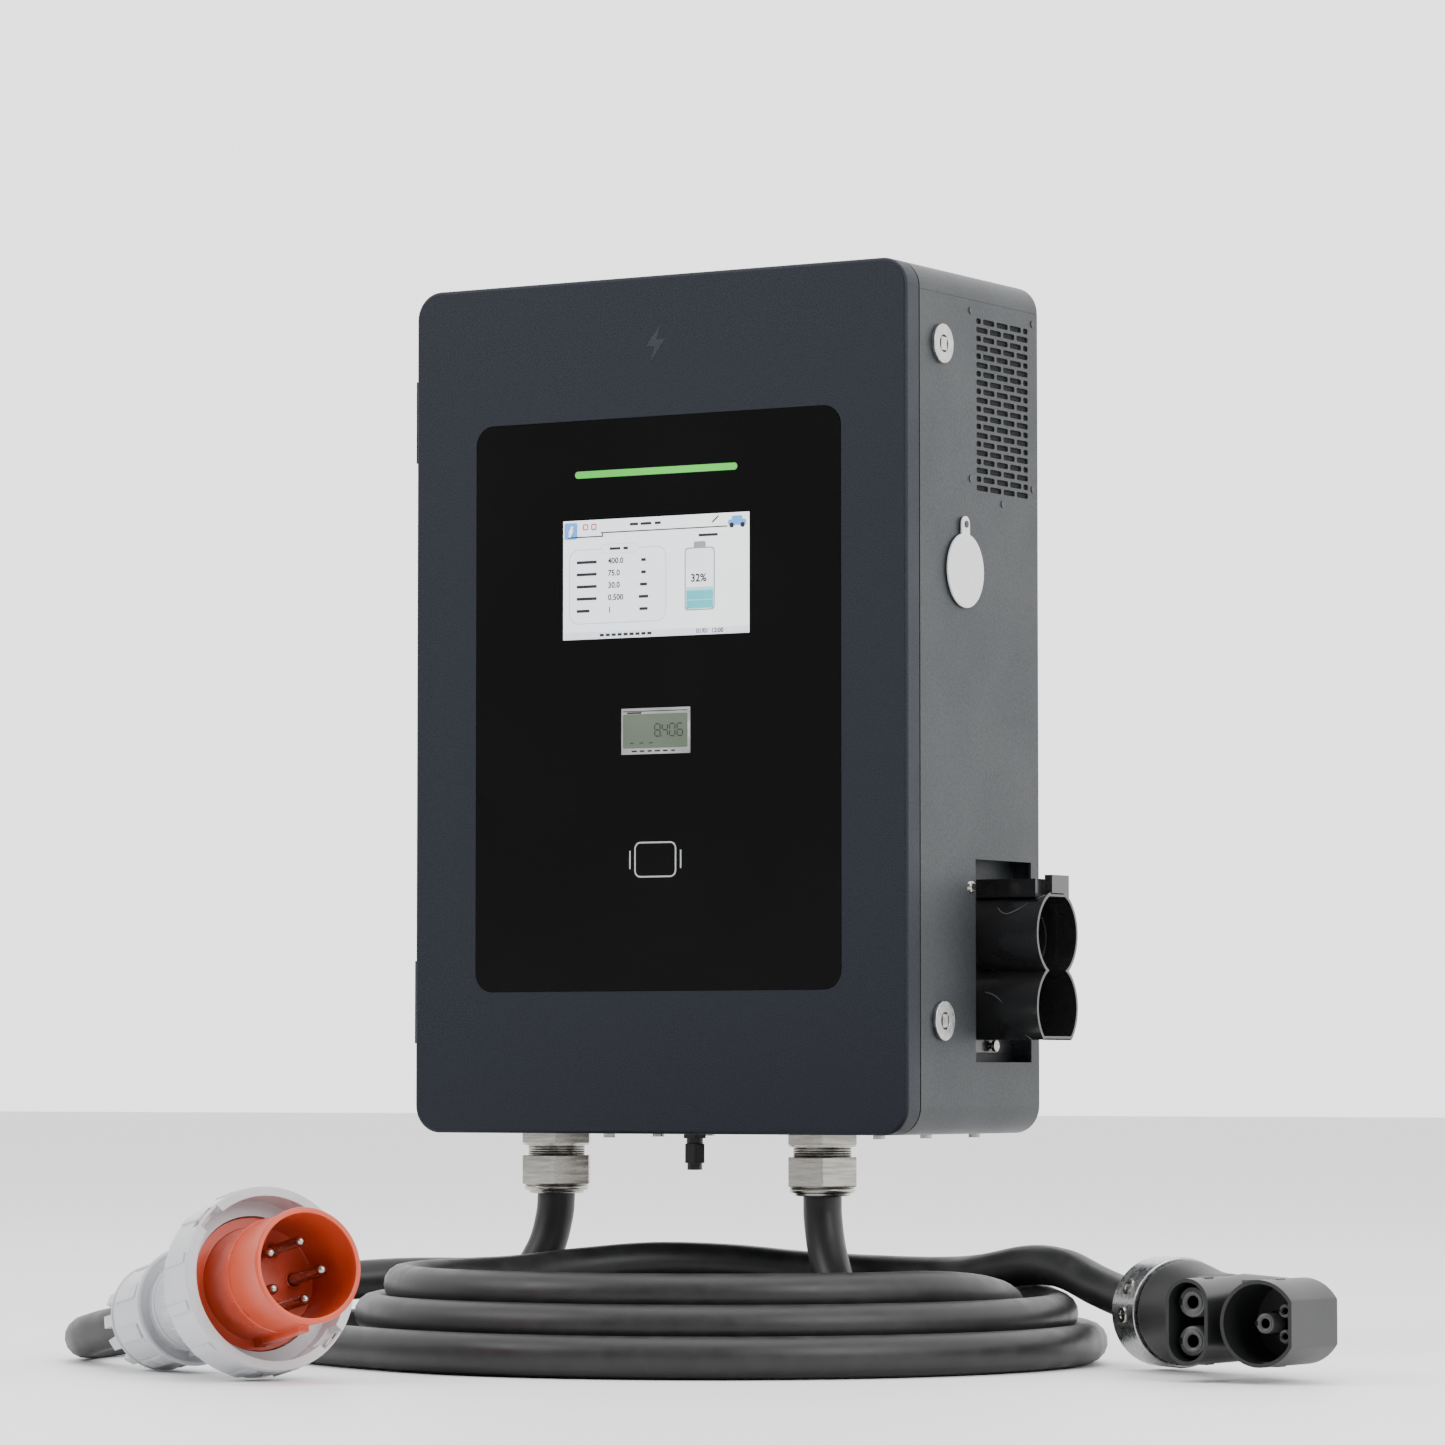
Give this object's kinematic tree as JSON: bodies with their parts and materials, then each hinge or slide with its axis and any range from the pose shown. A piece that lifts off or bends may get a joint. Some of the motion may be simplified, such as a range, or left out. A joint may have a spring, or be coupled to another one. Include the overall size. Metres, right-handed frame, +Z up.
{
  "type": "wall-mounted dc vehicle charger",
  "caption": "Wall cabinet with a full-face hinged door, display, side holster and vents, a supply cable with a round pin-and-sleeve plug and an output cable with a combined vehicle connector",
  "frame": {"origin": "centre of the four wall bolt holes, on the wall plane at the rear of the bracket", "axes": "X to the right seen from the front, Y into the wall, Z up; the door faces -Y"},
  "size_m": [0.9041, 0.7183, 0.77],
  "materials": {
    "galvanised": "zinc-plated sheet steel",
    "grey_paint": "fine textured powder coat, dark grey",
    "navy_paint": "fine textured powder coat, navy",
    "black_paint": "black painted steel",
    "black_rubber": "black rubber",
    "cable_rubber": "matte black cable sheath",
    "nickel": "nickel-plated brass and steel",
    "stainless": "satin stainless steel",
    "filter_foam": "open-cell filter foam",
    "black_plastic": "black moulded plastic",
    "bright_aluminium": "brushed aluminium",
    "circuit_green": "solder mask",
    "dark_plastic": "dark grey plastic",
    "light_plastic": "light grey plastic",
    "holster_plastic": "satin black plastic",
    "fascia_black": "gloss black sheet",
    "green_light": "lit green diffuser",
    "screen": "lit display behind clear glass",
    "meter_grey": "grey meter front with a green-grey window",
    "cover_grey": "light grey paint",
    "plug_grey": "light grey plastic",
    "plug_red": "orange-red plastic"
  },
  "bodies": {
    "cabinet": {"wall_bracket": "galvanised", "back_panel": "grey_paint", "side_panel_left": "grey_paint", "side_panel_right": "grey_paint", "top_cover": "grey_paint", "bottom_cover": "grey_paint", "front_frame": "grey_paint", "door_gasket": "black_rubber", "case_screws": "nickel", "black_screws": "black_paint", "hinge_leaves_cabinet": "grey_paint", "hinge_pins": "stainless", "lock_housings": "stainless", "panel_nuts": "nickel", "air_filters": "filter_foam", "fan_housing": "black_plastic", "equipment_plate": "galvanised", "power_module": "bright_aluminium", "control_board": "circuit_green", "dc_contactors": "dark_plastic", "din_rail": "galvanised", "main_breaker": "light_plastic", "terminal_block": "light_plastic", "holster_bracket": "grey_paint", "holster_body": "holster_plastic", "gland_bodies": "nickel", "gland_seals": "black_rubber", "gland_nuts": "nickel", "network_gland": "black_plastic", "service_port": "black_plastic", "plug_body": "plug_grey", "plug_nut": "plug_grey", "plug_sleeve": "plug_red", "plug_pins": "nickel", "gun_head": "dark_plastic", "gun_contacts": "black_plastic", "gun_grip": "black_rubber", "gun_collar": "bright_aluminium", "input_cord": "cable_rubber", "input_coil": "cable_rubber", "output_cord": "cable_rubber", "output_coil": "cable_rubber"},
    "door": {"door_shell": "navy_paint", "hinge_leaves_door": "navy_paint", "fascia_frame": "black_plastic", "fascia_panel": "fascia_black", "led_lens": "green_light", "display_module": "dark_plastic", "display_glass": "screen", "energy_meter": "meter_grey", "interface_boards": "circuit_green", "latch_strikes": "galvanised"},
    "lock_core_upper": {"lock_core_upper": "stainless"},
    "lock_core_lower": {"lock_core_lower": "stainless"},
    "swing_cover": {"swing_cover": "cover_grey"},
    "fan_rotor_upper": {"fan_rotor_upper": "dark_plastic"},
    "fan_rotor_lower": {"fan_rotor_lower": "dark_plastic"},
    "breaker_toggle": {"breaker_toggle": "black_plastic"},
    "plug_ring": {"plug_ring": "plug_grey"}
  },
  "joints": [
    {"name": "door_hinge", "type": "hinge", "parent": "cabinet", "child": "door", "pos_m": [-0.2105, -0.18725, 0], "axis": [0, 0, -1], "range_deg": [0, 110]},
    {"name": "lock_upper_turn", "type": "hinge", "parent": "cabinet", "child": "lock_core_upper", "pos_m": [0.2, -0.156, 0.2505], "axis": [-1, 0, 0], "range_deg": [0, 90]},
    {"name": "lock_lower_turn", "type": "hinge", "parent": "cabinet", "child": "lock_core_lower", "pos_m": [0.2, -0.156, -0.2275], "axis": [1, 0, 0], "range_deg": [0, 90]},
    {"name": "cover_swing", "type": "hinge", "parent": "cabinet", "child": "swing_cover", "pos_m": [0.2073, -0.1235, 0.1248], "axis": [1, 0, 0], "range_deg": [-100, 100]},
    {"name": "fan_upper_spin", "type": "hinge", "parent": "cabinet", "child": "fan_rotor_upper", "pos_m": [0.19, -0.064, 0.24365], "axis": [1, 0, 0], "continuous": true},
    {"name": "fan_lower_spin", "type": "hinge", "parent": "cabinet", "child": "fan_rotor_lower", "pos_m": [0.19, -0.064, 0.18165], "axis": [1, 0, 0], "continuous": true},
    {"name": "breaker_flip", "type": "hinge", "parent": "cabinet", "child": "breaker_toggle", "pos_m": [-0.07, -0.1735, -0.1575], "axis": [1, 0, 0], "range_deg": [0, 70]},
    {"name": "plug_ring_turn", "type": "hinge", "parent": "cabinet", "child": "plug_ring", "pos_m": [-0.0281, -0.6528, -0.3998], "axis": [0.8679, -0.4615, 0.184], "range_deg": [0, 45]}
  ]
}
